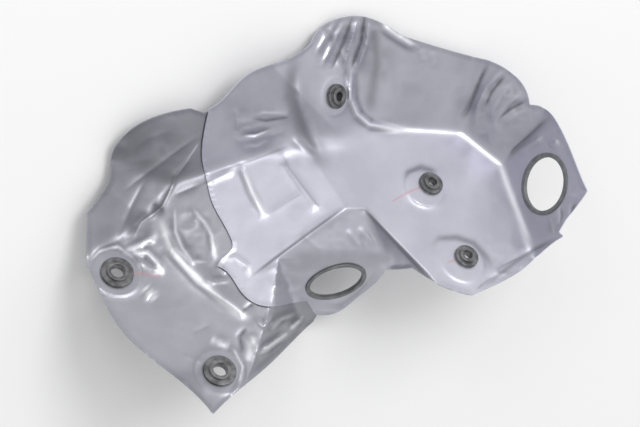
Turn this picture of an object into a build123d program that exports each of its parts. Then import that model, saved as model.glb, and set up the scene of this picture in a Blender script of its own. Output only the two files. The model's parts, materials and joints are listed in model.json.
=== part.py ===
from build123d import *
import math
import os

# Exhaust heat shield, millimetres. The two sheets are drawn along one press direction: a runs across the
# sheet, b runs up it and depth grows towards the open side. Every panel of the tray is a plane, and the
# finished part is then laid down as it comes to rest, with +Z up.

# Sheet and lap joint
SHEET_THICKNESS = 0.8
LAP_CLEARANCE = 0.1

# Room that the blanks take before they are trimmed
BLANK_SPAN = 2400.0
BLANK_DEPTH = 900.0
PRESS_REACH = 400.0
HOLE_REACH = 14.0

# How the shield lies at rest, in degrees: tilts of the press frame about a and b, then a turn about +Z
REST_PITCH = -18.25
REST_ROLL = -25.52
REST_TURN = 123.3

# Panels of the tray: a point on each, its depth, and its slopes along a and b
FLANGE = ((-146.0, -42.5), 0.0, (-0.25, -0.56))
BULGE = ((-86.5, -50.5), -7.0, (-0.10, -0.40))
PLATEAU = ((80.5, 21.5), -82.0, (-0.50, -0.67))
SADDLE = ((7.0, 84.0), -54.0, (-1.05, 0.10))

# Far walls rise from their fold lines: start, end, rise per mm
END_WALL = ((-130.5, -8.0), (-87.0, 51.0), 0.80)
END_WALL_TURN = ((-160.0, -26.5), (-130.5, -6.5), 0.80)
BACK_WALL = ((-82.0, 29.5), (-26.5, 48.0), 1.15)
SIDE_WALLS = [
    ((31.5, 64.0), (101.5, 58.5), 1.12),
    ((103.5, 59.0), (132.5, 35.5), 1.30),
    ((133.0, 35.5), (150.0, -15.0), 1.60),
]

# Near walls fall from their edge lines: start, end, fall per mm
SKIRT_EDGE = ((-62.5, -144.5), (-36.0, -81.5), 1.80)
CORNER_EDGE = ((-33.0, -84.0), (-33.0, -48.0), 2.90)
BULGE_EDGE = ((-44.5, -42.5), (26.5, 9.5), 0.70)
PORT_WALL_EDGE = ((-21.5, -33.0), (36.0, -33.0), 1.50)
NOTCH_EDGE = ((26.5, 9.5), (67.5, -32.5), 2.30)

# Pressed beads and gathers: start and end of the crest, by the panel that they stand on
BEAD_HEIGHT = 1.6
BEAD_HALF_WIDTH = 5.0
BULGE_BEADS = [
    ((-108.0, -29.5), (-88.5, -50.5)),
    ((-88.5, -50.5), (-57.5, -70.5)),
    ((-55.5, 29.0), (-42.0, 0.5)),
    ((-24.0, 34.0), (-5.0, 6.0)),
]
END_WALL_BEADS = [((-92.0, 54.0), (-123.0, 29.5))]
BACK_WALL_BEADS = [((-57.5, 52.0), (-27.5, 58.5)), ((-57.5, 65.5), (-24.5, 70.5))]
SIDE_WALL_BEADS = [
    ((18.5, 110.0), (8.0, 132.0)),
    ((24.0, 108.5), (23.0, 134.5)),
    ((29.0, 110.0), (37.5, 132.0)),
]
CORNER_WALL_BEADS = [((122.5, 58.5), (143.5, 87.0))]

# Raised round pads under the bushes
PAD_HEIGHT = 1.4
FLANGE_PAD_RADIUS = 18.5
PANEL_PAD_RADIUS = 14.4

# Bolt places on the sheets
FLANGE_BUSHES = [(-146.0, -42.5), (-72.0, -113.0)]
PANEL_BUSHES = [(80.5, 21.5), (106.0, -31.5), (11.5, 85.0)]

# Round ports and the rings that edge them
PORTS = [(163.5, 21.5), (11.5, -49.5)]
PORT_RADIUS = 19.7
PORT_RING_BAND = 3.2
PORT_RING_THICKNESS = 0.9
PORT_RING_SEAT = 0.05
PORT_RING_LIP = 0.6
PORT_RING_GRIP = 1.2

# Trim lines as runs of points between corners
RIGHT_TRIM = [
    [(-80.0, 75.0), (-70.5, 81.5), (-52.5, 99.5), (-26.5, 110.0), (-6.5, 122.5)],
    [(-6.5, 122.5), (0.5, 134.0), (12.0, 140.5), (31.5, 142.5), (46.0, 137.5), (60.0, 129.0)],
    [(60.0, 129.0), (93.0, 119.0), (122.5, 111.5)],
    [(122.5, 111.5), (130.5, 108.0), (138.0, 103.5), (149.0, 91.5), (152.5, 79.0)],
    [(152.5, 79.0), (165.5, 75.0), (173.5, 64.0), (186.0, 34.5), (193.5, 16.5)],
    [(193.5, 16.5), (185.0, 4.5), (178.0, -5.0), (173.0, -13.5)],
    [(173.0, -13.5), (176.5, -16.5)],
    [(176.5, -16.5), (162.5, -26.5), (148.5, -39.5), (129.5, -50.5), (110.0, -59.0)],
    [(110.0, -59.0), (98.0, -56.0), (82.0, -49.0), (67.0, -39.5)],
    [(67.0, -39.5), (57.5, -40.5), (47.5, -41.0)],
    [(47.5, -41.0), (39.0, -52.0), (27.5, -61.0), (16.5, -70.0), (-3.5, -73.5)],
    [(-3.5, -73.5), (-9.5, -63.5)],
    [(-9.5, -63.5), (-25.0, -66.0), (-36.0, -67.0), (-46.0, -65.0),
     (-57.5, -55.5), (-66.0, -43.0), (-74.0, -38.0)],
    [(-74.0, -38.0), (-70.5, -32.5), (-65.0, -27.5), (-64.0, -18.5)],
    [(-64.0, -18.5), (-69.0, -8.5), (-78.0, 8.5), (-82.0, 24.0),
     (-85.0, 38.0), (-84.0, 56.0), (-80.0, 75.0)],
]
LEFT_TRIM = [
    [(-5.0, -79.0), (-10.0, -83.5), (-43.0, -114.5), (-60.0, -128.0), (-76.5, -143.5)],
    [(-76.5, -143.5), (-98.5, -121.0), (-131.0, -95.0), (-147.0, -77.0),
     (-155.5, -61.0), (-168.0, -36.5)],
    [(-168.0, -36.5), (-167.0, 0.5)],
    [(-167.0, 0.5), (-155.0, 16.5), (-150.5, 26.5), (-150.0, 39.5),
     (-136.0, 60.0), (-121.0, 68.5), (-93.5, 75.5)],
    [(-93.5, 75.5), (-84.0, 72.5)],
    [(-84.0, 72.5), (-72.5, 75.0)],
    [(-72.5, 75.0), (-71.5, 60.0), (-72.5, 34.5), (-65.5, 11.5),
     (-57.0, -6.0), (-52.0, -19.5), (-55.5, -35.5)],
    [(-55.5, -35.5), (-47.5, -50.5), (-37.5, -57.5), (-17.5, -57.5)],
    [(-17.5, -57.5), (-6.0, -65.0), (-1.5, -72.5)],
    [(-1.5, -72.5), (-5.0, -79.0)],
]

# Bushes crimped through the sheets: bore, hub through the sheet, collar on each side, raised rim
FLANGE_BORE_RADIUS = 5.2
FLANGE_HUB_RADIUS = 7.6
FLANGE_COLLAR_RADIUS = 12.2
FLANGE_RIM_RADIUS = 8.3
PANEL_BORE_RADIUS = 3.3
PANEL_HUB_RADIUS = 5.6
PANEL_COLLAR_RADIUS = 9.0
PANEL_RIM_RADIUS = 6.4
COLLAR_THICKNESS = 2.2
RIM_HEIGHT = 1.8
COLLAR_CLEARANCE = 0.05


def depth_on(panel, spot):
    (a0, b0), depth, (slope_a, slope_b) = panel
    return depth + slope_a * (spot[0] - a0) + slope_b * (spot[1] - b0)


def leaned(panel, start, end, rate):
    run = math.dist(start, end)
    slope_a, slope_b = panel[2]
    lean_a = rate * (start[1] - end[1]) / run
    lean_b = rate * (end[0] - start[0]) / run
    return (start, depth_on(panel, start), (slope_a + lean_a, slope_b + lean_b))


def raised(panel, height):
    return (panel[0], panel[1] + height, panel[2])


def seat(panel, spot, below):
    slope_a, slope_b = panel[2]
    normal = Vector(-slope_a, -slope_b, 1.0).normalized()
    origin = Vector(*spot, depth_on(panel, spot)) - normal * below
    return Plane(origin=origin, x_dir=Vector(1.0, 0.0, slope_a), z_dir=normal)


def under(panel, below):
    block = Box(BLANK_SPAN, BLANK_SPAN, BLANK_DEPTH, align=(Align.CENTER, Align.CENTER, Align.MAX))
    return seat(panel, panel[0], below) * block


def pad(panel, spot, radius, below):
    rise = 2 * PAD_HEIGHT
    foot = Cone(radius + rise, radius, rise, align=(Align.CENTER, Align.CENTER, Align.MAX))
    return seat(raised(panel, PAD_HEIGHT), spot, below) * foot


def overlap(panels, below):
    made = under(panels[0], below)
    for panel in panels[1:]:
        made = made & under(panel, below)
    return made


def bead(panel, start, end, below):
    crest = raised(panel, BEAD_HEIGHT)
    fall = BEAD_HEIGHT / BEAD_HALF_WIDTH
    step_a = end[0] - start[0]
    step_b = end[1] - start[1]
    across_start = (start[0] + step_b, start[1] - step_a)
    across_end = (end[0] - step_b, end[1] + step_a)
    sides = [leaned(crest, start, end, -fall), leaned(crest, end, start, -fall)]
    ends = [leaned(crest, start, across_start, fall), leaned(crest, end, across_end, fall)]
    middle = ((start[0] + end[0]) / 2, (start[1] + end[1]) / 2, 0.0)
    heading = math.degrees(math.atan2(step_b, step_a))
    foot = Box(math.hypot(step_a, step_b) + 2 * BEAD_HALF_WIDTH, 2 * BEAD_HALF_WIDTH, PRESS_REACH)
    return overlap(sides + ends, below) & (Location(middle, (0.0, 0.0, heading)) * foot)


def panels(below):
    made = overlap([BULGE, PLATEAU], below) + overlap([FLANGE, PLATEAU], below)
    back = under(leaned(BULGE, *BACK_WALL), below)
    for base in (FLANGE, BULGE):
        back = back + overlap([leaned(base, *END_WALL), leaned(base, *END_WALL_TURN)], below)
    made = made + (back & under(SADDLE, below))
    for wall in SIDE_WALLS:
        made = made + overlap([leaned(PLATEAU, *wall), leaned(BULGE, *wall)], below)
    near = leaned(BULGE, *BULGE_EDGE)
    skirt = leaned(FLANGE, *SKIRT_EDGE)
    walls = overlap([near, leaned(near, *PORT_WALL_EDGE)], below)
    walls = walls + overlap([skirt, leaned(skirt, *CORNER_EDGE)], below)
    walls = walls + under(leaned(PLATEAU, *NOTCH_EDGE), below)
    return made & walls


def tray(below):
    made = panels(below)
    for panel, lines in bead_lines:
        for start, end in lines:
            made = made + bead(panel, start, end, below)
    for panel, spot in flange_seats:
        made = made + pad(panel, spot, FLANGE_PAD_RADIUS, below)
    for panel, spot in panel_seats:
        made = made + pad(panel, spot, PANEL_PAD_RADIUS, below)
    return made


def trim_face(runs):
    edges = [Line(*run) if len(run) == 2 else Spline(*run) for run in runs]
    return make_face(edges)


def pressed_sheet(runs, below):
    cutter = extrude(Plane.XY.offset(-PRESS_REACH / 2) * trim_face(runs), PRESS_REACH, dir=(0, 0, 1))
    return ((cutter & tray(below)) - tray(below + SHEET_THICKNESS)).solid()


def ring(inner, outer, low, high):
    with BuildPart() as made:
        with BuildSketch(Plane.XY.offset(low)):
            Circle(outer)
            Circle(inner, mode=Mode.SUBTRACT)
        extrude(amount=high - low)
    return made.part


def bush(bore, hub, collar, rim):
    low = -SHEET_THICKNESS - COLLAR_CLEARANCE
    high = COLLAR_CLEARANCE + COLLAR_THICKNESS
    stem = ring(bore, hub, low, COLLAR_CLEARANCE)
    upper = ring(bore, collar, COLLAR_CLEARANCE, high)
    lower = ring(bore, collar, low - COLLAR_THICKNESS, low)
    return (stem + upper + lower + ring(bore, rim, high, high + RIM_HEIGHT)).solid()


def edge_ring():
    lip = PORT_RADIUS + PORT_RING_LIP
    low = -SHEET_THICKNESS - PORT_RING_GRIP
    high = PORT_RING_SEAT + PORT_RING_THICKNESS
    band = ring(PORT_RADIUS, PORT_RADIUS + PORT_RING_BAND, PORT_RING_SEAT, high)
    return (band + ring(PORT_RADIUS, lip, low, PORT_RING_SEAT)).solid()


LEFT_BELOW = SHEET_THICKNESS + LAP_CLEARANCE
bead_lines = [
    (BULGE, BULGE_BEADS),
    (leaned(BULGE, *END_WALL), END_WALL_BEADS),
    (leaned(BULGE, *BACK_WALL), BACK_WALL_BEADS),
    (leaned(PLATEAU, *SIDE_WALLS[0]), SIDE_WALL_BEADS),
    (leaned(PLATEAU, *SIDE_WALLS[1]), CORNER_WALL_BEADS),
]
flange_seats = [(FLANGE, centre) for centre in FLANGE_BUSHES]
panel_seats = list(zip((PLATEAU, PLATEAU, SADDLE), PANEL_BUSHES))
port_seats = [
    (leaned(PLATEAU, *SIDE_WALLS[-1]), PORTS[0]),
    (leaned(leaned(BULGE, *BULGE_EDGE), *PORT_WALL_EDGE), PORTS[1]),
]
left = pressed_sheet(LEFT_TRIM, LEFT_BELOW)
right = pressed_sheet(RIGHT_TRIM, 0.0)

flange_spots = [seat(raised(panel, PAD_HEIGHT), centre, LEFT_BELOW) for panel, centre in flange_seats]
panel_spots = [seat(raised(panel, PAD_HEIGHT), centre, 0.0) for panel, centre in panel_seats]
port_spots = [seat(panel, centre, 0.0) for panel, centre in port_seats]
for spot in flange_spots:
    left = left - spot * Cylinder(FLANGE_HUB_RADIUS, HOLE_REACH)
for spot in panel_spots:
    right = right - spot * Cylinder(PANEL_HUB_RADIUS, HOLE_REACH)
for spot in port_spots:
    right = right - spot * Cylinder(PORT_RADIUS + PORT_RING_LIP, HOLE_REACH)

port_ring = edge_ring()
flange_bush = bush(FLANGE_BORE_RADIUS, FLANGE_HUB_RADIUS, FLANGE_COLLAR_RADIUS, FLANGE_RIM_RADIUS)
panel_bush = bush(PANEL_BORE_RADIUS, PANEL_HUB_RADIUS, PANEL_COLLAR_RADIUS, PANEL_RIM_RADIUS)
nodes = {
    "left_shell": left,
    "right_shell": right,
    "port_rings": Compound([spot * port_ring for spot in port_spots]),
    "flange_bushes": Compound([spot * flange_bush for spot in flange_spots]),
    "panel_bushes": Compound([spot * panel_bush for spot in panel_spots]),
}

lean = Location((0.0, 0.0, 0.0), (REST_PITCH, REST_ROLL, 0.0))
tilt = Location((0.0, 0.0, 0.0), (0.0, 0.0, REST_TURN)) * lean
laid = Compound([tilt * piece for piece in nodes.values()]).bounding_box()
stand = Location((-laid.center().X, -laid.center().Y, -laid.min.Z)) * tilt
os.makedirs("parts", exist_ok=True)
for name, piece in nodes.items():
    export_step(stand * piece, os.path.join("parts", name + ".step"))
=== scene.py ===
# %% [markdown]
# # Exhaust heat shield
# The real object is two thin sheets of soft aluminium, stamped between dies and lapped over each other,
# with five dark bolt bushes crimped through them and a dark edge ring around each of two ports. Forming and
# handling have left beads, gathers and small dents all over it. The solids already hold the panels, folds,
# pads and trim lines. This lesson keeps those and works the metal: folds become soft bends, walls get
# their gathers, and every piece gets a finish close to the one that the photograph shows.

# %% Load the solids
import json
import math
import bpy
import numpy as np
from mathutils import Matrix, Vector
from mathutils.bvhtree import BVHTree


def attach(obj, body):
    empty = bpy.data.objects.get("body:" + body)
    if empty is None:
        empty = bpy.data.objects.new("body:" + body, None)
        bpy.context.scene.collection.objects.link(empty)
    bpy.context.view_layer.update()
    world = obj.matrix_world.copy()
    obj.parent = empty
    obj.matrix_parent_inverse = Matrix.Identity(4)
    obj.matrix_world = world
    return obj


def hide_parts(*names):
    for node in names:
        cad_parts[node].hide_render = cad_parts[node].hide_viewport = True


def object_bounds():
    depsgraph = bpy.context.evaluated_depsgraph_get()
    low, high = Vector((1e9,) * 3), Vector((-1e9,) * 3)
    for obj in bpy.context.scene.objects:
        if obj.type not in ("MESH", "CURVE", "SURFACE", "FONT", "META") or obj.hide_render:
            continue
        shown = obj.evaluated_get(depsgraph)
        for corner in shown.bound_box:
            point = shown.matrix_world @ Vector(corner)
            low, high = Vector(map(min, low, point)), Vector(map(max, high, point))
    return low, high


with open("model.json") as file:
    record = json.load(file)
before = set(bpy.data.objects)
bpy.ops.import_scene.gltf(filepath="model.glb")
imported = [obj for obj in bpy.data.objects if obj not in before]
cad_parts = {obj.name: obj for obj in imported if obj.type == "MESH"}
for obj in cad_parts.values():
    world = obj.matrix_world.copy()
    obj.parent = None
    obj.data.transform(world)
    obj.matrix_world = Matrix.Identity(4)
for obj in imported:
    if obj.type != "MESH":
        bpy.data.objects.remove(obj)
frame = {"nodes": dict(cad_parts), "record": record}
cad_low, cad_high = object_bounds()
record = frame["record"]
print("solids:", sorted(frame["nodes"]))

# %% [markdown]
# ## The press frame
# A stamped sheet has one direction in which the dies close, and seen along it no part of the sheet hides
# another. The photograph looks along that direction, so one frame serves for both: a runs to the right of
# the picture, b runs up it, and depth comes towards the viewer. Places on the sheets can then be read
# straight from the picture in pixels and turned into millimetres with a single scale.

# %% Turn picture places into press places
MM = 0.001
MM_PER_PIXEL = 0.72
PICTURE_CENTRE = (320.0, 213.0)
REST_PITCH, REST_ROLL, REST_TURN = -18.25, -25.52, 123.3
PRESS_ORIGIN = np.array((2.84, -19.67, 81.32))

turn = Matrix.Rotation(math.radians(REST_TURN), 3, "Z")
lean = Matrix.Rotation(math.radians(REST_PITCH), 3, "X") @ Matrix.Rotation(math.radians(REST_ROLL), 3, "Y")
press = turn @ lean
ACROSS, UP, OUT = (np.array(press.col[i]) for i in range(3))


def press_place(pixel):
    u, v = pixel
    return ((u - PICTURE_CENTRE[0]) * MM_PER_PIXEL, (PICTURE_CENTRE[1] - v) * MM_PER_PIXEL)


def row_place(a, b, depth):
    a, b, depth = (np.asarray(value, dtype=float)[..., None] for value in (a, b, depth))
    return (PRESS_ORIGIN + a * ACROSS + b * UP + depth * OUT) * MM


print("press direction in the row frame:", OUT.round(3))

# %% [markdown]
# ## Holes that the sheets keep
# Five bushes and two rings sit in round holes. Their places come from the record and from the ring solids
# themselves, so that the worked sheets keep those holes. The first two openings in the record are the ports.
# A flat ring's axis is the direction in which its points spread the least, which a singular value
# decomposition gives.

# %% Find the holes
FLANGE_HUB, PANEL_HUB, PORT_HOLE = 7.6, 5.6, 20.3
RING_REACH = 40.0


def ring_places(node):
    mesh = frame["nodes"][node].data
    points = np.array([v.co for v in mesh.vertices]) / MM
    found = []
    for opening in record["physics"]["openings"][:2]:
        middle = np.mean(opening["box_m"], axis=0) / MM
        near = points[np.linalg.norm(points - middle, axis=1) < RING_REACH]
        low, high = near.min(axis=0), near.max(axis=0)
        axis = np.linalg.svd(near - (low + high) / 2)[2][2]
        axis = axis if axis @ OUT > 0 else -axis
        found.append((middle, axis))
    return found


mounts = {m["name"]: (np.array(m["pos_m"]) / MM, np.array(m["axis"])) for m in record["mounts"]}
flange_bolts = [mounts["flange_bush_upper"], mounts["flange_bush_lower"]]
panel_bolts = [mounts["panel_bush_middle"], mounts["panel_bush_rim"], mounts["panel_bush_saddle"]]
ports = ring_places("port_rings")
left_holes = [(middle, axis, FLANGE_HUB) for middle, axis in flange_bolts]
right_holes = [(middle, axis, PANEL_HUB) for middle, axis in panel_bolts]
right_holes += [(middle, axis, PORT_HOLE) for middle, axis in ports]
print("holes:", len(left_holes), "left,", len(right_holes), "right")

# %% [markdown]
# ## Reading a sheet's upper skin
# A pressed sheet can be held as a depth map: one depth for each place of a fine square lattice. Rays cast
# down the press direction on the solid give that map. A subdivided copy of the solid would be simpler, but
# its long thin triangles follow the panels and not the bends, and they don't take dents evenly.

# %% Cast the lattice
LATTICE = 1.0
COLUMNS = np.arange(-176.0, 202.0, LATTICE)
ROWS = np.arange(-158.0, 150.0, LATTICE)
A, B = np.meshgrid(COLUMNS, ROWS)
RAY_HEIGHT = 300.0
HOLE_HALF_LENGTH, HOLE_ROOM = 12.0, 0.05


def sheet_reader(node, holes):
    mesh = frame["nodes"][node].data
    tree = BVHTree.FromPolygons([v.co[:] for v in mesh.vertices], [p.vertices[:] for p in mesh.polygons])
    down = Vector(-OUT)

    def depth_at(a, b):
        start = (PRESS_ORIGIN + a * ACROSS + b * UP + RAY_HEIGHT * OUT) * MM
        hit = tree.ray_cast(Vector(start), down)[0]
        if hit is None:
            return None
        hit = np.array(hit) / MM
        for middle, axis, radius in holes:
            arm = hit - middle
            along = arm @ axis
            if abs(along) < HOLE_HALF_LENGTH and arm @ arm - along * along < (radius + HOLE_ROOM) ** 2:
                return None
        return (hit - PRESS_ORIGIN) @ OUT

    return depth_at


def read_skin(depth_at):
    depth = np.zeros(A.shape)
    metal = np.zeros(A.shape, dtype=bool)
    for row, column in np.ndindex(A.shape):
        found = depth_at(A[row, column], B[row, column])
        if found is not None:
            depth[row, column] = found
            metal[row, column] = True
    return depth, metal


left_depth_at = sheet_reader("left_shell", left_holes)
right_depth_at = sheet_reader("right_shell", right_holes)
left_skin, left_metal = read_skin(left_depth_at)
right_skin, right_metal = read_skin(right_depth_at)
print("lattice places with metal:", left_metal.sum(), "left,", right_metal.sum(), "right")

# %% [markdown]
# ## Low mounds under two bushes
# The solids carry every bush on a low round mound with a straight, narrow foot. On the plateau the press has
# drawn that foot out and sunk the sheet a little on its left, and the slope shows as a dark crescent above
# and a bright one below. The bush stays at its height.

# %% Draw out the mounds
MOUND_FOOT, SLOPE_WIDTH = 17.0, 5.0
LEVEL_RING, SEAT_SHARE = 2.0, 0.6
MOAT_REACH, LEFT_LEAN = 12.0, 0.6
# Each pad: centre in pixels, radius and depth of the sunk side in millimetres.
PADS = [((426, 187), 13.6, 1.5), ((464, 260), 16.0, 0.2)]


def ease(value):
    value = np.clip(value, 0.0, 1.0)
    return value * value * (3.0 - 2.0 * value)


def from_axis(points, middle, axis):
    arms = points - middle
    height = arms @ axis
    return np.sqrt(np.maximum((arms**2).sum(axis=2) - height**2, 0.0)), height


for (middle, axis), (centre, pad_radius, moat_depth) in zip(panel_bolts[:2], PADS):
    points = row_place(A, B, right_skin) / MM
    reach, height = from_axis(points, middle, axis)
    a, b = press_place(centre)
    flat = PRESS_ORIGIN + a * ACROSS + b * UP
    pad_middle = flat + OUT * ((middle - flat) @ axis) / (axis @ OUT)
    pad_reach = from_axis(points, pad_middle, axis)[0]
    level = np.median(height[right_metal & (reach > MOUND_FOOT) & (reach < MOUND_FOOT + LEVEL_RING)])
    seat = np.median(height[right_metal & (reach < SEAT_SHARE * MOUND_FOOT)])
    slope = ease((pad_reach - pad_radius) / SLOPE_WIDTH)
    to_right = ((points - pad_middle) @ ACROSS) / np.maximum(pad_reach, 1.0)
    to_left = ease(LEFT_LEAN - LEFT_LEAN * to_right)
    past_foot = np.maximum(pad_reach - pad_radius - SLOPE_WIDTH, 0.0)
    moat = moat_depth * to_left * slope * np.exp(-past_foot / MOAT_REACH)
    new_height = (seat - level) * (1.0 - slope) - moat
    change = np.where(reach < MOUND_FOOT, level + new_height - height, new_height)
    right_skin += np.where(right_metal, change / (axis @ OUT), 0.0)
    print("mound of", round(seat - level, 2), "mm drawn out to", pad_radius + SLOPE_WIDTH, "mm")

# %% [markdown]
# ## From sharp folds to soft bends
# Sheet metal can't fold to a knife edge in a press: it bends over the die's radius. Averaging each depth
# with its four neighbours, some thirty times over, turns every fold into a bend of a few millimetres and
# leaves flat panels flat. At the trim line a missing neighbour is taken to carry on straight, so the
# edges don't curl. The hollows of the photograph are broad and its crests are crisp, so crests get only a
# share of the change.

# %% Soften the folds
SIDES = ((0, 1), (0, -1), (1, 1), (1, -1))
OWN_SHARE, NEIGHBOUR_SHARE = 0.5, 0.125


def soften(depth, metal, rounds):
    depth = np.where(metal, depth, 0.0)
    for _ in range(rounds):
        total = np.zeros_like(depth)
        for axis, shift in SIDES:
            beside = np.roll(depth, shift, axis)
            opposite = np.roll(depth, -shift, axis)
            straight = np.where(np.roll(metal, -shift, axis), 2.0 * depth - opposite, depth)
            total += np.where(np.roll(metal, shift, axis), beside, straight)
        depth = np.where(metal, OWN_SHARE * depth + NEIGHBOUR_SHARE * total, 0.0)
    return depth


def carry_past_edge(depth, metal, rings):
    depth, known = depth.copy(), metal.copy()
    for _ in range(rings):
        total, count = np.zeros_like(depth), np.zeros_like(depth)
        for axis, shift in SIDES:
            first, first_known = np.roll(depth, shift, axis), np.roll(known, shift, axis)
            second, second_known = np.roll(depth, 2 * shift, axis), np.roll(known, 2 * shift, axis)
            total += np.where(first_known, np.where(second_known, 2.0 * first - second, first), 0.0)
            count += first_known
        grown = (count > 0) & ~known
        depth = np.where(grown, total / np.maximum(count, 1), depth)
        known = known | grown
    return depth


BEND_ROUNDS = 28
CREST_SHARE = 0.15
EDGE_RINGS = 4


def bend(skin, metal):
    change = soften(skin, metal, BEND_ROUNDS) - skin
    share = np.where(change > 0.0, 1.0, CREST_SHARE)
    return carry_past_edge(np.where(metal, skin + share * change, 0.0), metal, EDGE_RINGS)


left_soft, right_soft = bend(left_skin, left_metal), bend(right_skin, right_metal)
moved = np.abs(right_soft - right_skin)[right_metal]
print("bends moved the right sheet by", moved.mean().round(2), "mm on average")
print("and by", moved.max().round(2), "mm at most")

# %% [markdown]
# ## Beads, gathers and dents
# Where the blank had metal to spare, it gathered into folds, and handling added dents. Each one is a line
# on the sheet with a height and a width, read from the picture. A rounded one swells like a bead, and a
# sharp one stands like a crease. Sculpting by hand could do this too, but lines can be listed, checked
# against the picture and changed one by one. Both sheets share the same lines, so the lap stays closed.

# %% Lines on the sheets, in picture pixels
# Each bead or crease: its line, then its height and width in millimetres.
BEADS = [
    ([(164, 214), (175, 246), (197, 270), (226, 297), (252, 315)], 2.6, 5.6),
    ([(174, 208), (175, 231), (182, 247), (192, 261), (207, 262)], 1.2, 2.2),
    ([(190, 203), (192, 211), (204, 222), (211, 235), (213, 251), (216, 260)], 1.2, 2.2),
    ([(124, 251), (140, 244), (158, 234)], 2.0, 3.2),
    ([(128, 253), (147, 252), (157, 262), (163, 276)], 1.9, 3.0),
    ([(134, 256), (148, 266), (160, 273)], 1.4, 2.4),
    ([(202, 277), (213, 281), (231, 280)], 1.0, 2.2),
    ([(221, 259), (219, 267), (227, 275)], 0.9, 1.8),
    ([(147, 290), (153, 296)], 1.3, 4.6),
    ([(238, 158), (243, 170), (251, 192), (264, 215)], 1.2, 2.4),
    ([(279, 146), (289, 168), (302, 185), (328, 218)], 0.3, 1.8),
    ([(265, 216), (285, 203), (305, 190)], 0.2, 2.6),
    ([(294, 58), (291, 98), (303, 136), (324, 166)], -1.8, 4.4),
    ([(204, 183), (227, 173), (236, 168)], 1.2, 2.6),
    ([(302, 62), (299, 98), (311, 131), (327, 166)], 1.2, 4.0),
    ([(289, 135), (303, 147), (318, 158)], 1.0, 2.6),
    ([(290, 246), (328, 220), (358, 202)], 0.6, 2.8),
    ([(258, 273), (276, 267), (306, 274)], 0.6, 2.6),
    ([(268, 284), (290, 288), (306, 286)], 0.6, 2.6),
    ([(316, 310), (342, 310), (360, 298), (384, 270)], 0.9, 2.2),
    ([(378, 21), (386, 27), (398, 35), (412, 43), (422, 46)], 2.6, 2.4),
    ([(350, 50), (352, 98), (358, 113), (370, 123), (410, 130)], 3.0, 2.6),
    ([(221, 258), (235, 257), (247, 265), (249, 279)], 0.8, 1.8),
    ([(346, 228), (365, 250)], 0.8, 2.2),
    ([(358, 226), (378, 246)], 0.8, 2.2),
    ([(260, 353), (274, 342), (288, 333)], 3.2, 2.4),
    ([(290, 330), (302, 318)], 2.6, 2.0),
    ([(268, 330), (280, 318), (296, 312)], 2.4, 2.2),
    ([(253, 316), (264, 326), (272, 312)], 1.3, 2.2),
    ([(250, 332), (256, 344), (256, 357)], 1.3, 3.0),
    ([(216, 340), (228, 344)], 0.9, 3.0),
    ([(90, 262), (100, 250), (117, 245), (134, 257), (145, 275)], 0.9, 1.6),
    ([(230, 343), (241, 358), (244, 371), (238, 386), (226, 400)], 0.9, 1.6),
]
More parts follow.
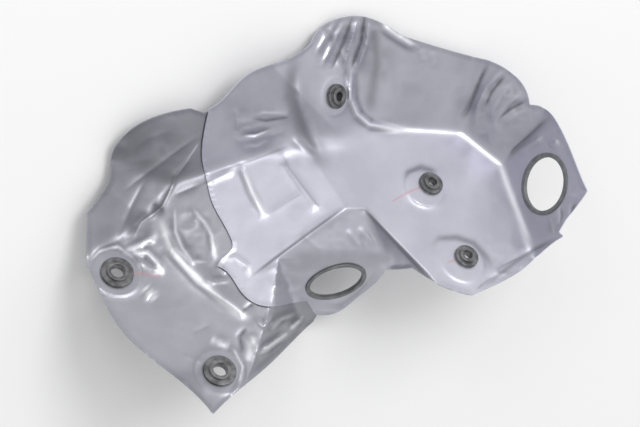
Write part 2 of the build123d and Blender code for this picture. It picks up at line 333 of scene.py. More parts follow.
CREASES = [
    ([(203, 131), (180, 148), (150, 170), (119, 194)], 1.6, 2.6),
    ([(149, 171), (130, 208), (114, 243)], 1.3, 2.4),
    (
        [(198, 143), (186, 161), (174, 175), (173, 183), (162, 206), (155, 212), (141, 222), (134, 237)],
        1.9, 1.6,
    ),
    ([(152, 204), (163, 210)], -2.0, 2.2),
    ([(149, 209), (138, 220), (127, 234)], -1.4, 2.0),
    ([(172, 196), (188, 189), (201, 184)], -1.0, 2.0),
    ([(252, 117), (264, 113), (290, 114)], 1.0, 1.8),
    ([(252, 118), (266, 120), (289, 116)], -0.9, 1.8),
    ([(238, 129), (252, 128), (268, 123)], 1.0, 2.0),
    ([(239, 137), (254, 137), (268, 131), (276, 125)], 1.1, 2.2),
    ([(240, 133), (256, 132), (270, 127)], -0.8, 1.8),
    ([(241, 148), (258, 146), (270, 139)], 1.0, 2.2),
    ([(233, 106), (237, 116), (236, 130)], 0.9, 2.4),
    ([(338, 14), (327, 33), (314, 56)], 1.9, 1.9),
    ([(347, 14), (334, 40), (320, 68)], 2.1, 1.9),
    ([(354, 12), (343, 42), (330, 72)], -1.9, 1.9),
    ([(360, 12), (349, 45), (341, 76)], 2.3, 1.9),
    ([(366, 8), (361, 41), (349, 74)], -2.3, 1.9),
    ([(370, 12), (366, 44), (354, 76)], 2.0, 2.0),
    ([(373, 22), (375, 56), (372, 96)], -0.9, 4.0),
    ([(491, 59), (482, 78), (465, 122)], -2.0, 2.2),
    ([(484, 66), (473, 92), (460, 120)], 0.9, 2.2),
    ([(512, 64), (488, 85), (480, 104), (474, 126)], 2.5, 2.4),
    ([(509, 71), (494, 90), (486, 108)], -1.2, 1.8),
    ([(516, 78), (502, 94), (490, 116)], 1.1, 1.8),
    ([(527, 92), (508, 103), (494, 121)], 1.2, 2.0),
    ([(530, 98), (512, 108), (500, 118)], -1.1, 1.6),
    ([(534, 107), (518, 114), (505, 126)], 1.0, 1.8),
    ([(553, 114), (535, 131), (517, 147), (506, 161)], -1.7, 2.4),
    ([(546, 134), (534, 142), (520, 151)], 1.5, 2.2),
    ([(561, 139), (553, 145)], 1.2, 2.4),
    ([(548, 200), (552, 220), (556, 240)], 1.0, 2.0),
    ([(560, 196), (564, 214), (563, 232)], -1.1, 2.0),
    ([(574, 206), (566, 220), (560, 232)], 1.2, 1.8),
    ([(580, 200), (571, 214), (564, 228)], -1.0, 1.6),
    ([(563, 236), (527, 255), (494, 271)], -1.2, 2.4),
    ([(494, 268), (501, 274), (510, 272)], 1.0, 1.8),
    ([(476, 290), (498, 274)], -0.8, 2.4),
    ([(131, 152), (146, 138), (176, 128)], 0.7, 3.0),
    ([(394, 52), (400, 88), (398, 122)], 0.5, 4.0),
    ([(422, 46), (425, 62)], 0.5, 1.6),
    ([(432, 48), (437, 66)], 0.5, 1.6),
    ([(300, 232), (318, 248), (330, 250)], 0.6, 2.4),
    ([(255, 302), (241, 312)], -1.0, 1.8),
    ([(248, 326), (240, 336), (243, 354)], -1.4, 2.2),
    ([(182, 353), (206, 363)], 0.5, 2.0),
    ([(190, 334), (212, 324)], -0.5, 4.0),
]
print("lines to work in:", len(BEADS), "beads and", len(CREASES), "creases")

# %% Work the lines into the metal
LINE_FADE, CREASE_FOOT = 0.3, 3.0


def line_distance(line):
    near = np.full(A.shape, np.inf)
    along = np.zeros(A.shape)
    run = 0.0
    places = [press_place(pixel) for pixel in line]
    for (a0, b0), (a1, b1) in zip(places, places[1:]):
        length = math.dist((a0, b0), (a1, b1))
        share = np.clip(((A - a0) * (a1 - a0) + (B - b0) * (b1 - b0)) / length**2, 0.0, 1.0)
        gap = np.hypot(A - a0 - share * (a1 - a0), B - b0 - share * (b1 - b0))
        along = np.where(gap < near, run + share * length, along)
        near = np.minimum(near, gap)
        run += length
    return near, along, run


def end_fade(along, run, share):
    return ease(np.minimum(along, run - along) / (share * run))


def bead_shape(near, width):
    return np.exp(-((near / width) ** 2))


def worked_line(line, height, width, sharp):
    near, along, run = line_distance(line)
    shape = bead_shape(near, width)
    if sharp:
        shape = np.exp(-near / width) * bead_shape(near, CREASE_FOOT * width)
    return height * end_fade(along, run, LINE_FADE) * shape


worked = np.zeros(A.shape)
for line, height, width in BEADS:
    worked += worked_line(line, height, width, sharp=False)
for line, height, width in CREASES:
    worked += worked_line(line, height, width, sharp=True)
print("worked heights run from", worked.min().round(2), "to", worked.max().round(2), "mm")

# %% [markdown]
# ## Folds that run out
# A straight fold in the solids stands for a bend that the real sheet lets fade: the saddle flows into the
# plateau, and the bulge's near wall bows down to its port. Along those lines the sheet takes a much softer
# copy of itself, blended in by the distance from the line.

# %% Let some folds run out
RUN_OUT_ROUNDS = 260
# Each fold: its line and the width of the blend in millimetres.
RUN_OUTS = [
    ([(286, 146), (318, 142), (345, 141), (366, 130)], 11.0),
    ([(304, 264), (332, 261), (384, 263)], 8.0),
]
share = np.zeros(A.shape)
for line, width in RUN_OUTS:
    share = np.maximum(share, bead_shape(line_distance(line)[0], width))
softer = soften(right_skin, right_metal, RUN_OUT_ROUNDS)
right_soft = np.where(right_metal, right_soft + share * (softer - right_soft), 0.0)
right_soft = carry_past_edge(right_soft, right_metal, EDGE_RINGS)
print("folds that run out:", len(RUN_OUTS))

# %% [markdown]
# ## Crumpled areas
# Between the clear lines, thin metal shows a restless surface: flat facets that meet in faint crests. Folded
# noise gives that: smooth random noise, turned over at its middle, makes crests where it crosses zero. The
# walls and the foot of the bulge are worked hard, and the plateau is almost smooth.

# %% Crumple the walls
# Each area: centre and reach in pixels, height and grain in millimetres.
CRUMPLES = [
    ((140, 160), 62, 0.75, 17.0),
    ((140, 240), 30, 0.70, 11.0),
    ((195, 235), 42, 0.55, 12.0),
    ((165, 320), 75, 0.28, 26.0),
    ((250, 300), 40, 0.35, 14.0),
    ((258, 130), 36, 0.40, 11.0),
    ((345, 50), 34, 0.45, 9.0),
    ((425, 80), 62, 0.32, 19.0),
    ((510, 110), 42, 0.75, 12.0),
    ((560, 190), 45, 0.50, 12.0),
    ((510, 265), 45, 0.45, 13.0),
    ((290, 200), 70, 0.22, 24.0),
    ((420, 200), 90, 0.16, 30.0),
    ((345, 240), 30, 0.40, 11.0),
]
NOISE_SPAN, NOISE_MARGIN, NOISE_CORNER = 420.0, 4, (180.0, 162.0)


def blend_cells(field, row, column, s, t):
    low = field[row, column] * (1 - s) + field[row, column + 1] * s
    high = field[row + 1, column] * (1 - s) + field[row + 1, column + 1] * s
    return low * (1 - t) + high * t


def smooth_noise(grain, seed):
    pick = np.random.default_rng(seed)
    count = int(NOISE_SPAN / grain) + NOISE_MARGIN
    knots = pick.uniform(-1.0, 1.0, (count, count))
    x, y = (A + NOISE_CORNER[0]) / grain, (B + NOISE_CORNER[1]) / grain
    column, row = x.astype(int), y.astype(int)
    return blend_cells(knots, row, column, ease(x - column), ease(y - row))


WANDER, FINE_GRAIN, FINE_SHARE = 0.35, 0.55, 0.45
BROAD_LEVEL, FINE_LEVEL, CREST_ROUNDING = 0.5, 0.4, 0.002


def folded_noise(grain, seed):
    wander_a, wander_b = smooth_noise(grain * 2, seed + 1), smooth_noise(grain * 2, seed + 2)
    broad = smooth_noise(grain, seed) + WANDER * wander_a
    fine = smooth_noise(grain * FINE_GRAIN, seed + 3) + WANDER * wander_b
    broad_fold = BROAD_LEVEL - np.sqrt(broad**2 + CREST_ROUNDING)
    fine_fold = FINE_LEVEL - np.sqrt(fine**2 + CREST_ROUNDING)
    return broad_fold + FINE_SHARE * fine_fold


def span_from(centre, reach):
    a, b = press_place(centre)
    return np.hypot(A - a, B - b) / (reach * MM_PER_PIXEL)


AREA_SHARE, AREA_SEED, AREA_SEED_STEP = 0.9, 40, 7
FAINT_HEIGHT, FAINT_GRAIN, FAINT_SEED = 0.05, 7.0, 5
for place, (centre, reach, height, grain) in enumerate(CRUMPLES):
    mask = np.exp(-((span_from(centre, reach) / AREA_SHARE) ** 4))
    worked += height * mask * folded_noise(grain, AREA_SEED + AREA_SEED_STEP * place)
worked += FAINT_HEIGHT * smooth_noise(FAINT_GRAIN, FAINT_SEED)
print("crumpled areas:", len(CRUMPLES))

# %% [markdown]
# ## Calm seats
# Bushes and rings clamp the sheet flat, so the worked lines fade out under each collar. The fade is a round
# mask around each hole, a little wider than the collar. Along its trim line the sheet turns up by a fraction
# of a millimetre, as a blanked edge does, and there it catches the light.

# %% Flatten the seats
FLANGE_CALM, PANEL_CALM, PORT_CALM = 13.5, 10.0, 24.0
CALM_START, CALM_WIDTH = 0.95, 0.3
RIM_RINGS, RIM_TURN = 4, 0.8
WORK_LIMIT = 2.4


def axis_distance(middle, axis):
    arm = middle - PRESS_ORIGIN
    gap_a, gap_b = A - arm @ ACROSS, B - arm @ UP
    slope_a, slope_b = -(axis @ ACROSS) / (axis @ OUT), -(axis @ UP) / (axis @ OUT)
    rise = slope_a * gap_a + slope_b * gap_b
    return np.sqrt(gap_a**2 + gap_b**2 + rise**2)


def calm(field, places, reach):
    for middle, axis in places:
        field = field * ease((axis_distance(middle, axis) / reach - CALM_START) / CALM_WIDTH)
    return field


def calm_all(field):
    for places, reach in ((flange_bolts, FLANGE_CALM), (panel_bolts, PANEL_CALM), (ports, PORT_CALM)):
        field = calm(field, places, reach)
    return field


def rim_lip(metal):
    inside, steps = metal.copy(), np.zeros(A.shape)
    for _ in range(RIM_RINGS):
        steps += inside
        for axis, shift in SIDES:
            inside = inside & np.roll(metal, shift, axis)
        metal = inside
    return RIM_TURN * (1.0 - ease(steps / RIM_RINGS))


def steepness(depth, limit):
    fall_b, fall_a = np.gradient(depth, LATTICE)
    return np.minimum(np.sqrt(1.0 + fall_a**2 + fall_b**2), limit)


def work_sheet(soft, metal):
    return soft + (worked + calm_all(rim_lip(metal))) * steepness(soft, WORK_LIMIT)


worked = calm_all(worked)
left_worked, right_worked = work_sheet(left_soft, left_metal), work_sheet(right_soft, right_metal)
print("tallest work on the sheets:", np.abs(worked).max().round(2), "mm")

# %% [markdown]
# ## Keeping the lap closed
# The right sheet lies on the left one. Rounding the folds can let the lower sheet rise through the upper by
# a fraction of a millimetre, so in the lap the lower one is held just under the upper one's underside.

# %% Hold the lower sheet down
SHEET_THICKNESS = 0.8
LAP_ROOM, DROP_LIMIT = 0.12, 4.0
drop = (SHEET_THICKNESS + LAP_ROOM) * steepness(right_worked, DROP_LIMIT)
lap = left_metal & right_metal
left_worked = np.where(lap, np.minimum(left_worked, right_worked - drop), left_worked)
print("lattice places in the lap:", lap.sum())

# %% [markdown]
# ## A sheet from its depth map
# Lattice cells that are all metal become small quads. Cells on the trim line are cut where the metal really
# ends, found by halving the step along each cell side nine times. No sliver is left at a lattice point, so
# the outline and the holes stay as the solids have them to about a tenth of a millimetre. The lower skin is
# the upper one moved in by the sheet's thickness, and a narrow band closes the rim.

# %% Cut the sheet out of the lattice
HALVINGS, SLIVER = 9, 0.06


def cut_lattice(depth, metal, depth_at):
    number = np.full(A.shape, -1)
    number[metal] = np.arange(metal.sum())
    places = [(A[i], B[i], depth[i]) for i in zip(*np.nonzero(metal))]
    cuts = {}

    def cut(inner, outer):
        key = (inner, outer)
        if key not in cuts:
            low, high = 0.0, 1.0
            a0, b0, a1, b1 = A[inner], B[inner], A[outer], B[outer]
            for _ in range(HALVINGS):
                middle = (low + high) / 2
                inside = depth_at(a0 + (a1 - a0) * middle, b0 + (b1 - b0) * middle) is not None
                low, high = (middle, high) if inside else (low, middle)
            share = min(max(low, SLIVER), 1.0 - SLIVER)
            cuts[key] = len(places)
            level = depth[inner] + (depth[outer] - depth[inner]) * share
            places.append((a0 + (a1 - a0) * share, b0 + (b1 - b0) * share, level))
        return cuts[key]

    whole = metal[:-1, :-1] & metal[:-1, 1:] & metal[1:, 1:] & metal[1:, :-1]
    some = metal[:-1, :-1] | metal[:-1, 1:] | metal[1:, 1:] | metal[1:, :-1]
    faces = []
    for i, j in zip(*np.nonzero(whole)):
        faces.append((number[i, j], number[i, j + 1], number[i + 1, j + 1], number[i + 1, j]))
    for i, j in zip(*np.nonzero(some & ~whole)):
        corners = [(i, j), (i, j + 1), (i + 1, j + 1), (i + 1, j)]
        face = []
        for here, following in zip(corners, corners[1:] + corners[:1]):
            if metal[here]:
                face.append(number[here])
            if metal[here] != metal[following]:
                face.append(cut(here, following) if metal[here] else cut(following, here))
        faces.append(tuple(face))
    return np.array(places), faces


left_places, left_faces = cut_lattice(left_worked, left_metal, left_depth_at)
right_places, right_faces = cut_lattice(right_worked, right_metal, right_depth_at)
print("faces of the upper skins:", len(left_faces), "left,", len(right_faces), "right")

# %% Give the sheet its thickness and its rim
def on_lattice(field, places):
    x, y = (places[:, 0] - COLUMNS[0]) / LATTICE, (places[:, 1] - ROWS[0]) / LATTICE
    column, row = x.astype(int), y.astype(int)
    return blend_cells(field, row, column, x - column, y - row)


def smooth_object(name, points, faces, sharp_angle):
    mesh = bpy.data.meshes.new(name)
    mesh.from_pydata(points, [], faces)
    mesh.polygons.foreach_set("use_smooth", np.ones(len(mesh.polygons), dtype=bool))
    mesh.set_sharp_from_angle(angle=math.radians(sharp_angle))
    made = bpy.data.objects.new(name, mesh)
    bpy.context.scene.collection.objects.link(made)
    return made


SHEET_SHARP = 55


def sheet_object(name, depth, places, faces):
    upper = row_place(places[:, 0], places[:, 1], places[:, 2])
    fall_b, fall_a = np.gradient(depth, LATTICE)
    slope_a, slope_b = on_lattice(fall_a, places)[:, None], on_lattice(fall_b, places)[:, None]
    normals = OUT - slope_a * ACROSS - slope_b * UP
    normals /= np.linalg.norm(normals, axis=1)[:, None]
    lower = upper - normals * SHEET_THICKNESS * MM
    points = np.clip(np.concatenate([upper, lower]), np.array(cad_low), np.array(cad_high))
    sides = {side for face in faces for side in zip(face, face[1:] + face[:1])}
    count = len(upper)
    rim = [(b, a, a + count, b + count) for a, b in sides if (b, a) not in sides]
    back = [tuple(corner + count for corner in reversed(face)) for face in faces]
    skin = [tuple(map(int, face)) for face in faces + back + rim]
    return smooth_object(name, points.tolist(), skin, SHEET_SHARP)


left_sheet = sheet_object("left_sheet", left_worked, left_places, left_faces)
right_sheet = sheet_object("right_sheet", right_worked, right_places, right_faces)
SHEETS = [(left_sheet, "left_shell", "left_sheet"), (right_sheet, "right_shell", "right_sheet")]
for sheet, node, slot in SHEETS:
    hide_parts(node)
    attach(sheet, "root")
    print(sheet.name, len(sheet.data.polygons), "faces")

# %% [markdown]
# ## Painted shade, painted highlights and pen marks
# Painted shade darkens the hollows of the creases, lines along the feet of mounds and folds, and a few
# patches of the walls. Painted highlights lighten ridges that stand proud. The photograph also shows
# three faint reddish strokes beside the bushes, as a marking pen leaves. All of them depend on where they
# are on the sheet, so they are written to the mesh as point values that the finish reads.

# %% Lines and patches of the marks
PEN_STROKES = [
    [(132, 272), (146, 274), (160, 276)],
    [(394, 200), (408, 192), (422, 186)],
    [(449, 262), (457, 260)],
]
# Each line of painted shade or painted highlight: its line, its width in millimetres and its strength.
PAINTED_SHADE_LINES = [
    ([(404, 180), (409, 171), (422, 166), (442, 172)], 2.2, 0.75),
    ([(408, 190), (417, 203), (436, 208)], 0.8, 0.5),
    ([(428, 248), (440, 238), (458, 237), (475, 243), (488, 257), (497, 274)], 2.4, 0.75),
    ([(492, 57), (482, 78), (463, 125)], 1.6, 0.8),
    ([(509, 70), (494, 90), (484, 110)], 1.3, 0.7),
    ([(366, 14), (361, 41), (350, 70)], 1.4, 0.8),
    ([(353, 17), (343, 42), (331, 68)], 1.2, 0.6),
    ([(371, 6), (377, 60), (368, 122)], 4.5, 0.7),
    ([(555, 112), (535, 131), (505, 163)], 2.0, 0.7),
    ([(566, 234), (527, 255), (480, 290)], 1.8, 0.7),
    ([(152, 206), (138, 220), (124, 238)], 2.4, 0.85),
    ([(199, 144), (174, 176), (162, 206), (134, 238)], 1.0, 0.7),
    ([(205, 133), (180, 149), (148, 172), (118, 196)], 1.6, 0.5),
    ([(170, 197), (201, 184), (236, 167)], 1.4, 0.5),
    ([(242, 380), (276, 352), (312, 320)], 3.2, 0.6),
    ([(248, 325), (239, 336), (243, 356)], 1.6, 0.7),
    ([(297, 44), (290, 98), (304, 138), (336, 176)], 6.0, 0.75),
    ([(247, 117), (266, 120), (296, 115)], 1.2, 0.8),
    ([(236, 134), (256, 132), (276, 125)], 1.4, 0.8),
    ([(190, 203), (193, 212), (205, 224), (212, 240)], 1.0, 0.6),
    ([(164, 226), (175, 250), (196, 272)], 1.0, 0.5),
    ([(89, 262), (100, 249), (117, 244), (135, 257), (147, 277)], 1.0, 0.5),
    ([(240, 285), (276, 257), (310, 232), (346, 206), (356, 206)], 1.4, 0.95),
    ([(346, 207), (366, 209), (390, 236), (440, 290)], 1.8, 0.95),
    ([(196, 178), (206, 175), (250, 160), (300, 141)], 1.2, 0.6),
    ([(279, 146), (289, 168), (302, 185), (328, 218)], 0.9, 0.6),
    ([(306, 190), (285, 203), (262, 217)], 0.8, 0.35),
]
# Lines of painted highlight: pale colour along ridges and edges.
PAINTED_HIGHLIGHT_LINES = [
    ([(158, 212), (170, 247), (192, 273), (221, 301), (252, 322)], 2.6, 0.8),
    ([(174, 205), (175, 231), (182, 247), (192, 261), (210, 262)], 0.9, 0.6),
    ([(190, 207), (204, 222), (211, 235), (213, 251), (216, 263)], 1.3, 0.7),
    ([(122, 252), (140, 244), (160, 233)], 2.0, 0.8),
    ([(128, 253), (147, 252), (157, 262), (164, 278)], 1.6, 0.7),
    ([(144, 286), (150, 293), (156, 300)], 3.4, 0.7),
    ([(199, 141), (186, 161), (174, 177)], 0.5, 0.9),
    ([(174, 181), (162, 206), (155, 212), (141, 222), (133, 239)], 0.5, 0.9),
    ([(352, 82), (353, 98), (359, 113), (371, 124), (400, 129), (466, 130)], 1.6, 0.8),
    ([(456, 128), (480, 146), (506, 165)], 1.5, 0.8),
    ([(502, 160), (510, 184), (534, 244)], 1.8, 0.6),
    ([(241, 158), (251, 190), (266, 219)], 2.4, 0.7),
    ([(205, 181), (227, 173), (240, 166)], 1.8, 0.6),
    ([(381, 22), (398, 34), (416, 44)], 2.0, 0.9),
    ([(258, 355), (274, 342), (290, 332)], 1.2, 0.7),
    ([(288, 332), (304, 316)], 1.2, 0.7),
    ([(90, 261), (100, 250), (117, 245), (136, 258)], 0.7, 0.8),
    ([(233, 347), (243, 366), (239, 383)], 0.7, 0.8),
    ([(210, 338), (221, 343), (230, 347)], 2.6, 0.6),
    ([(254, 334), (251, 346), (248, 362)], 2.6, 0.6),
]
# Each patch of painted shade: centre and reach in pixels, and its strength.
PAINTED_SHADE_PATCHES = [
    ((138, 168), 62, 0.55), ((140, 222), 22, 0.75), ((158, 208), 13, 0.9), ((106, 238), 22, 0.65),
    ((250, 362), 14, 0.45), ((376, 60), 26, 0.4), ((300, 152), 20, 0.4), ((470, 104), 14, 0.45),
    ((520, 140), 16, 0.1), ((548, 222), 18, 0.5), ((236, 108), 16, 0.3), ((298, 110), 22, 0.5),
    ((288, 332), 20, 0.1), ((198, 386), 40, 0.6), ((280, 232), 44, 0.3), ((268, 280), 20, 0.35),
]
# Counts of painted shade lines, painted highlight lines and painted shade patches.
print("dirt lines:", len(PAINTED_SHADE_LINES), "rubbed lines:", len(PAINTED_HIGHLIGHT_LINES), "soot patches:", len(PAINTED_SHADE_PATCHES))

# %% Write painted highlights, painted shade and pen strokes to the sheets
HOLLOW_ROUNDS, HOLLOW_DEPTH = 14, 0.55
CLOUD_LEVEL, CLOUD_SWING, CLOUD_GRAIN, CLOUD_SEED = 0.7, 0.9, 9.0, 300
PAINTED_SHADE_CORE, PAINTED_SHADE_FADE, PAINTED_HIGHLIGHT_FADE = 0.25, 0.25, 0.15
PEN_WIDTH, PEN_CORE = 0.7, 1.4


def mark_lines(field, lines, fade):
    for line, width, strength in lines:
        near, along, run = line_distance(line)
        field = np.maximum(field, strength * end_fade(along, run, fade) * bead_shape(near, width))
    return field


everywhere = np.ones(A.shape, dtype=bool)
# Painted shade in the hollows of the worked relief: the deeper the hollow, the darker.
painted_shade = np.clip((soften(worked, everywhere, HOLLOW_ROUNDS) - worked) / HOLLOW_DEPTH, 0.0, 1.0)
# Patches of painted shade, broken up by cloud noise.
for place, (centre, reach, strength) in enumerate(PAINTED_SHADE_PATCHES):
    patch = 1.0 - ease(span_from(centre, reach) - PAINTED_SHADE_CORE)
    cloud = np.clip(CLOUD_LEVEL + CLOUD_SWING * smooth_noise(CLOUD_GRAIN, CLOUD_SEED + place), 0.0, 1.0)
    painted_shade = np.maximum(painted_shade, strength * cloud * patch)
# Painted shade along the listed fold, crest and pad lines.
painted_shade = mark_lines(painted_shade, PAINTED_SHADE_LINES, PAINTED_SHADE_FADE)
# Painted highlight along the listed ridge lines.
painted_highlight = mark_lines(np.zeros(A.shape), PAINTED_HIGHLIGHT_LINES, PAINTED_HIGHLIGHT_FADE)
pen = np.zeros(A.shape)
for stroke in PEN_STROKES:
    pen = np.maximum(pen, np.clip(PEN_CORE - line_distance(stroke)[0] / PEN_WIDTH, 0.0, 1.0))


def write_marks(sheet, places):
    clean = np.zeros(len(places))
    # Painted highlight, painted shade and pen strokes become point values on the upper skin.
    for name, field in (("painted_highlight", painted_highlight), ("painted_shade", painted_shade), ("pen", pen)):
        layer = sheet.data.attributes.new(name, "FLOAT", "POINT")
        layer.data.foreach_set("value", np.concatenate([on_lattice(field, places), clean]))


write_marks(left_sheet, left_places)
write_marks(right_sheet, right_places)
print("pen strokes:", len(PEN_STROKES), "and the darkest grime:", painted_shade.max().round(2))

# %% [markdown]
# ## Satin aluminium
# Rolled aluminium is a metal with a soft sheen: it mirrors its surroundings as through frosted glass. Rolling
# leaves fine lines one way, and handling leaves smudges that are duller and darker. Noise stretched along
# one direction makes the lines, and broad noise moves both the colour and the roughness. Painted highlights
# lighten the colour and painted shade darkens it, and the painted shade raises the roughness too.

# %% Nodes that the finishes share
def finish_start(name):
    material = bpy.data.materials.new(name)
    material.use_nodes = True
    nodes, links = material.node_tree.nodes, material.node_tree.links
    shader = nodes["Principled BSDF"]
    place = nodes.new("ShaderNodeTexCoord")
    return material, nodes, links, shader, place.outputs["Object"]


def noise(nodes, links, place, scale, detail, stretch=(1.0, 1.0, 1.0), spin=(0.0, 0.0, 0.0)):
    aim = nodes.new("ShaderNodeMapping")
    aim.inputs["Scale"].default_value = stretch
    aim.inputs["Rotation"].default_value = spin
    links.new(place, aim.inputs["Vector"])
    made = nodes.new("ShaderNodeTexNoise")
    made.inputs["Scale"].default_value = scale
    made.inputs["Detail"].default_value = detail
    links.new(aim.outputs["Vector"], made.inputs["Vector"])
    return made.outputs["Fac"]


def ramp(nodes, links, value, low, high, first, last):
    made = nodes.new("ShaderNodeValToRGB")
    made.color_ramp.elements[0].position = low
    made.color_ramp.elements[1].position = high
    made.color_ramp.elements[0].color = (*first, 1.0)
    made.color_ramp.elements[1].color = (*last, 1.0)
    links.new(value, made.inputs["Fac"])
    return made.outputs["Color"]


def spread(nodes, links, value, low, high, first, last):
    made = nodes.new("ShaderNodeMapRange")
    made.inputs["From Min"].default_value = low
    made.inputs["From Max"].default_value = high
    made.inputs["To Min"].default_value = first
    made.inputs["To Max"].default_value = last
    links.new(value, made.inputs["Value"])
    return made.outputs["Result"]


def tinted(nodes, links, amount, under, over):
    made = nodes.new("ShaderNodeMix")
    made.data_type = "RGBA"
    links.new(amount, made.inputs["Factor"])
    links.new(under, made.inputs[6])
    made.inputs[7].default_value = (*over, 1.0)
    return made.outputs[2]


def bumped(nodes, links, height, strength, distance, before=None):
    made = nodes.new("ShaderNodeBump")
    made.inputs["Strength"].default_value = strength
    made.inputs["Distance"].default_value = distance
    links.new(height, made.inputs["Height"])
    if before is not None:
        links.new(before, made.inputs["Normal"])
    return made.outputs["Normal"]


def point_value(nodes, name):
    made = nodes.new("ShaderNodeAttribute")
    made.attribute_name = name
    return made.outputs["Fac"]


print("shared nodes: noise, colour ramp, spread, tint, bump and point value")

# %% Finish for the sheets
# Each mark: its point value, its colour and how far that colour may take over.
MARKS = [
    # Painted highlight colour, then painted shade colour, then the pen's own colour.
    ("painted_highlight", (0.90, 0.90, 0.95), 0.9),
    ("painted_shade", (0.16, 0.16, 0.18), 0.75),
    ("pen", (0.62, 0.24, 0.26), 0.42),
]
# The painted shade also raises the roughness by this much.
PAINTED_SHADE_DULLING = 0.4


def satin_aluminium(name, bright, dull):
    material, nodes, links, shader, place = finish_start(name)
    smudges = noise(nodes, links, place, scale=26.0, detail=5.0)
    colour = ramp(nodes, links, smudges, low=0.35, high=0.68, first=dull, last=bright)
    for mark, top, reach in MARKS:
        amount = spread(nodes, links, point_value(nodes, mark), low=0.0, high=1.0, first=0.0, last=reach)
        colour = tinted(nodes, links, amount, colour, top)
    links.new(colour, shader.inputs["Base Color"])
    sheen = spread(nodes, links, smudges, low=0.3, high=0.7, first=0.40, last=0.30)
    # Roughness: smudge sheen plus painted shade times the dulling.
    rough = nodes.new("ShaderNodeMath")
    rough.operation = "MULTIPLY_ADD"
    rough.inputs[1].default_value = PAINTED_SHADE_DULLING
    links.new(point_value(nodes, "painted_shade"), rough.inputs[0])
    links.new(sheen, rough.inputs[2])
    links.new(rough.outputs["Value"], shader.inputs["Roughness"])
    one_way = {"stretch": (1.0, 0.06, 1.0), "spin": (0.0, 0.0, 0.7)}
    rolling = noise(nodes, links, place, scale=240.0, detail=3.0, **one_way)
    lines = bumped(nodes, links, rolling, strength=0.06, distance=0.0003)
    dimples = noise(nodes, links, place, scale=90.0, detail=2.0)
    relief = bumped(nodes, links, dimples, strength=0.05, distance=0.001, before=lines)
    links.new(relief, shader.inputs["Normal"])
    shader.inputs["Metallic"].default_value = 0.85
    return material


flange_finish = satin_aluminium("flange_aluminium", bright=(0.40, 0.40, 0.445), dull=(0.32, 0.32, 0.36))
tray_finish = satin_aluminium("tray_aluminium", bright=(0.59, 0.59, 0.665), dull=(0.50, 0.50, 0.57))
left_sheet.data.materials.append(flange_finish)
right_sheet.data.materials.append(tray_finish)
print("sheet finishes:", [sheet.data.materials[0].name for sheet in (left_sheet, right_sheet)])

# %% [markdown]
# ## Bolt bushes
# Each bush is a turned and crimped steel piece: a collar on each side of the sheet, a hub between them and
# a raised rim around the bore. Turned pieces are drawn as half a section and spun around their axis. The
# corners of the section get small roundings, because a crimped edge is never sharp, and a groove runs
# around the collar where its two layers meet.

# %% Spin a section around an axis
SPIN_STEPS, ROUNDING_STEPS = 96, 6
TURNED_SHARP = 40


def rounded_section(corners):
    made = []
    for index, (radius, height, rounding) in enumerate(corners):
        here = np.array((radius, height))
        before = np.array(corners[index - 1][:2]) - here
        after = np.array(corners[(index + 1) % len(corners)][:2]) - here
        if rounding == 0.0:
            made.append(tuple(here))
            continue
        start = here + before / np.linalg.norm(before) * rounding
        end = here + after / np.linalg.norm(after) * rounding
        for share in np.linspace(0.0, 1.0, ROUNDING_STEPS):
            point = start * (1 - share) ** 2 + here * 2 * share * (1 - share) + end * share**2
            made.append(tuple(point))
    return made


def spun(section, middle, axis):
    side = np.cross(axis, UP)
    side /= np.linalg.norm(side)
    other = np.cross(axis, side)
    points, faces = [], []
    for step in range(SPIN_STEPS):
        angle = 2.0 * math.pi * step / SPIN_STEPS
        arm = math.cos(angle) * side + math.sin(angle) * other
        points += [(middle + radius * arm + height * axis) * MM for radius, height in section]
    size = len(section)
    for step in range(SPIN_STEPS):
        here, beside = step * size, (step + 1) % SPIN_STEPS * size
        for index in range(size):
            following = (index + 1) % size
            faces.append((here + index, here + following, beside + following, beside + index))
    return points, faces


def turned_object(name, bodies):
    points, faces = [], []
    for body_points, body_faces in bodies:
        faces += [tuple(corner + len(points) for corner in face) for face in body_faces]
        points += body_points
    return smooth_object(name, [tuple(point) for point in points], faces, TURNED_SHARP)


print("turned pieces get", SPIN_STEPS, "steps around and", ROUNDING_STEPS, "points on a rounded corner")

# %% Bushes on the flange and on the panels
COLLAR, RIM, CLEAR = 2.2, 1.8, 0.05
GROOVE_HALF, GROOVE_DEPTH, RIM_UNDERCUT = 0.25, 0.5, 0.5
BUSH_LOW = -SHEET_THICKNESS - CLEAR - COLLAR
BUSH_HIGH = CLEAR + COLLAR + RIM
BUSH_MIDDLE = (BUSH_LOW + BUSH_HIGH) / 2


def bush_section(bore, hub, collar, rim):
    top, face, seat = BUSH_HIGH, CLEAR + COLLAR, CLEAR
    foot, base = -SHEET_THICKNESS - CLEAR, BUSH_LOW
    groove = (face + seat) / 2
    # Each corner: radius, height and rounding in millimetres.
    return rounded_section(
        [
            (bore, top, 0.7), (rim, top, 0.6), (rim - RIM_UNDERCUT, face, 0.3), (collar, face, 0.7),
            (collar, groove + GROOVE_HALF, 0.1), (collar - GROOVE_DEPTH, groove, 0.1),
            (collar, groove - GROOVE_HALF, 0.1), (collar, seat, 0.25), (hub, seat, 0.0), (hub, foot, 0.0),
            (collar, foot, 0.25), (collar, base, 0.7), (bore, base, 0.5),
        ]
    )


def bush_bodies(places, section):
    return [spun(section, middle - BUSH_MIDDLE * axis, axis) for middle, axis in places]


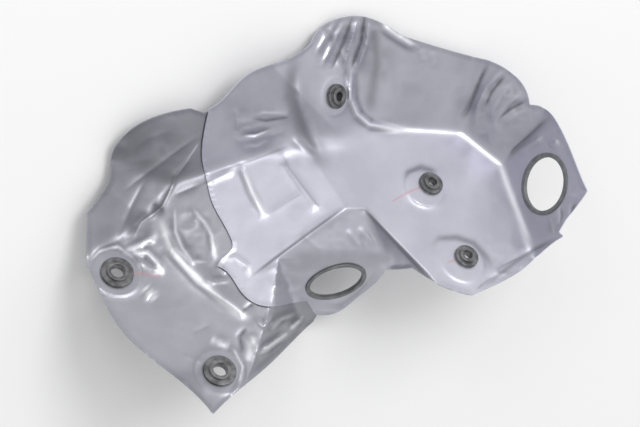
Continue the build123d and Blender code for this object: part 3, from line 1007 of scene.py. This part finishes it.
flange_section = bush_section(bore=5.2, hub=FLANGE_HUB, collar=12.2, rim=8.3)
panel_section = bush_section(bore=3.3, hub=PANEL_HUB, collar=9.0, rim=6.4)
flange_bushes = turned_object("flange_bush_pair", bush_bodies(flange_bolts, flange_section))
panel_bushes = turned_object("panel_bush_trio", bush_bodies(panel_bolts, panel_section))
for bushes, node in ((flange_bushes, "flange_bushes"), (panel_bushes, "panel_bushes")):
    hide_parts(node)
    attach(bushes, "root")
    print(bushes.name, len(bushes.data.polygons), "faces")

# %% [markdown]
# ## Port rings
# A dark ring edges each round port: a flat band on the sheet with a short lip down through the hole. It is
# spun like the bushes, with the band's corners rounded.

# %% Rings around the ports
PORT_RADIUS, BAND, BAND_THICKNESS, LIP, GRIP = 19.7, 3.2, 0.9, 0.6, 1.2
ring_section = rounded_section(
    [
        (PORT_RADIUS, CLEAR + BAND_THICKNESS, 0.3), (PORT_RADIUS + BAND, CLEAR + BAND_THICKNESS, 0.35),
        (PORT_RADIUS + BAND, CLEAR, 0.1), (PORT_RADIUS + LIP, CLEAR, 0.0),
        (PORT_RADIUS + LIP, -SHEET_THICKNESS - GRIP, 0.15), (PORT_RADIUS, -SHEET_THICKNESS - GRIP, 0.15),
    ]
)
port_rings = turned_object("port_ring_pair", [spun(ring_section, middle, axis) for middle, axis in ports])
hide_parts("port_rings")
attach(port_rings, "root")
print(port_rings.name, len(port_rings.data.polygons), "faces")

# %% [markdown]
# ## Dark steel
# The bushes and rings are dull dark steel. It is a metal too, but rough, with paler rubbed patches. One
# finish with two strengths serves both.

# %% Finish for bushes and rings
def dull_steel(name, dark, rubbed, rough):
    material, nodes, links, shader, place = finish_start(name)
    patches = noise(nodes, links, place, scale=160.0, detail=6.0)
    colour = ramp(nodes, links, patches, low=0.38, high=0.72, first=dark, last=rubbed)
    links.new(colour, shader.inputs["Base Color"])
    sheen = spread(nodes, links, patches, low=0.3, high=0.7, first=rough + 0.08, last=rough - 0.06)
    links.new(sheen, shader.inputs["Roughness"])
    grain = noise(nodes, links, place, scale=900.0, detail=3.0)
    links.new(bumped(nodes, links, grain, strength=0.15, distance=0.0003), shader.inputs["Normal"])
    shader.inputs["Metallic"].default_value = 0.7
    return material


bush_steel = dull_steel("bush_steel", dark=(0.095, 0.095, 0.10), rubbed=(0.24, 0.24, 0.25), rough=0.42)
ring_steel = dull_steel("ring_steel", dark=(0.18, 0.185, 0.19), rubbed=(0.27, 0.275, 0.28), rough=0.55)
for bushes in (flange_bushes, panel_bushes):
    bushes.data.materials.append(bush_steel)
port_rings.data.materials.append(ring_steel)
print("steel finishes:", [finish.name for finish in (bush_steel, ring_steel)])

# %% [markdown]
# ## Floor, light and camera
# The shield lies on a plain pale floor, which takes its soft shadow. A large soft lamp stands to the right of
# the viewer and above, a weaker one stands above the viewer, and a pale sky grows brighter towards the top
# right, as the photograph's shading shows. A long lens keeps the view as flat as the picture.

# %% Lay the floor
FLOOR_SPAN, FLOOR_DROP = 6.0, 0.0004
floor_mesh = bpy.data.meshes.new("floor")
half = FLOOR_SPAN / 2
floor_corners = [(-half, -half), (half, -half), (half, half), (-half, half)]
floor_mesh.from_pydata([(x, y, -FLOOR_DROP) for x, y in floor_corners], [], [(0, 1, 2, 3)])
floor = bpy.data.objects.new("floor", floor_mesh)
bpy.context.scene.collection.objects.link(floor)
paper, _, _, paper_shader, _ = finish_start("white_paper")
paper_shader.inputs["Base Color"].default_value = (0.92, 0.92, 0.92, 1.0)
paper_shader.inputs["Roughness"].default_value = 0.9
floor_mesh.materials.append(paper)
print("floor:", FLOOR_SPAN, "m")

# %% Hang the lamps
def soft_lamp(name, across, up, out, size, power):
    data = bpy.data.lights.new(name, "AREA")
    data.shape = "DISK"
    data.size = size
    data.energy = power
    lamp = bpy.data.objects.new(name, data)
    lamp.location = row_place(across, up, out)
    aim = Vector(PRESS_ORIGIN * MM) - lamp.location
    lamp.rotation_euler = aim.to_track_quat("-Z", "Y").to_euler()
    lamp.visible_camera = False
    bpy.context.scene.collection.objects.link(lamp)
    return lamp


lamps = [
    soft_lamp("key_lamp", across=1250.0, up=700.0, out=1850.0, size=1.2, power=18.5),
    soft_lamp("front_lamp", across=-230.0, up=900.0, out=2100.0, size=0.7, power=3.4),
]
SKY_DIM, SKY_BRIGHT = 0.58, 0.94
SKY_LOW, SKY_HIGH = -0.5, 0.9
sky_side = Vector(0.50 * ACROSS + 0.84 * UP + 0.20 * OUT)
world = bpy.data.worlds.new("studio")
bpy.context.scene.world = world
world.use_nodes = True
sky_nodes, sky_links = world.node_tree.nodes, world.node_tree.links
sky_place = sky_nodes.new("ShaderNodeTexCoord")
sky_turn = sky_nodes.new("ShaderNodeVectorMath")
sky_turn.operation = "DOT_PRODUCT"
sky_turn.inputs[1].default_value = sky_side
sky_links.new(sky_place.outputs["Generated"], sky_turn.inputs[0])
sky_level = spread(sky_nodes, sky_links, sky_turn.outputs["Value"], SKY_LOW, SKY_HIGH, SKY_DIM, SKY_BRIGHT)
sky_links.new(sky_level, sky_nodes["Background"].inputs["Strength"])
sky_nodes["Background"].inputs["Color"].default_value = (1.0, 1.0, 1.0, 1.0)
print("lamps:", [lamp.name for lamp in lamps], "sky from", SKY_DIM, "to", SKY_BRIGHT)

# %% Set up the camera
LENS, SENSOR = 600.0, 36.0
PICTURE_WIDTH = 640
distance = LENS / SENSOR * PICTURE_WIDTH * MM_PER_PIXEL * MM
camera_data = bpy.data.cameras.new("picture_camera")
camera_data.lens = LENS
camera_data.sensor_width = SENSOR
camera_data.clip_end = 50.0
camera = bpy.data.objects.new("picture_camera", camera_data)
camera.matrix_world = Matrix.Translation(Vector(PRESS_ORIGIN * MM + OUT * distance)) @ press.to_4x4()
bpy.context.scene.collection.objects.link(camera)
bpy.context.scene.camera = camera
bpy.context.scene.view_settings.view_transform = "Standard"
print("camera distance:", round(distance, 2), "m")

# %% [markdown]
# ## Final update
# The sheets were clipped to the box of the solids when made; here the view layer is updated once more.
# The worked model has to stay inside the box of the solids.

# %% Update the view layer
bpy.context.view_layer.update()
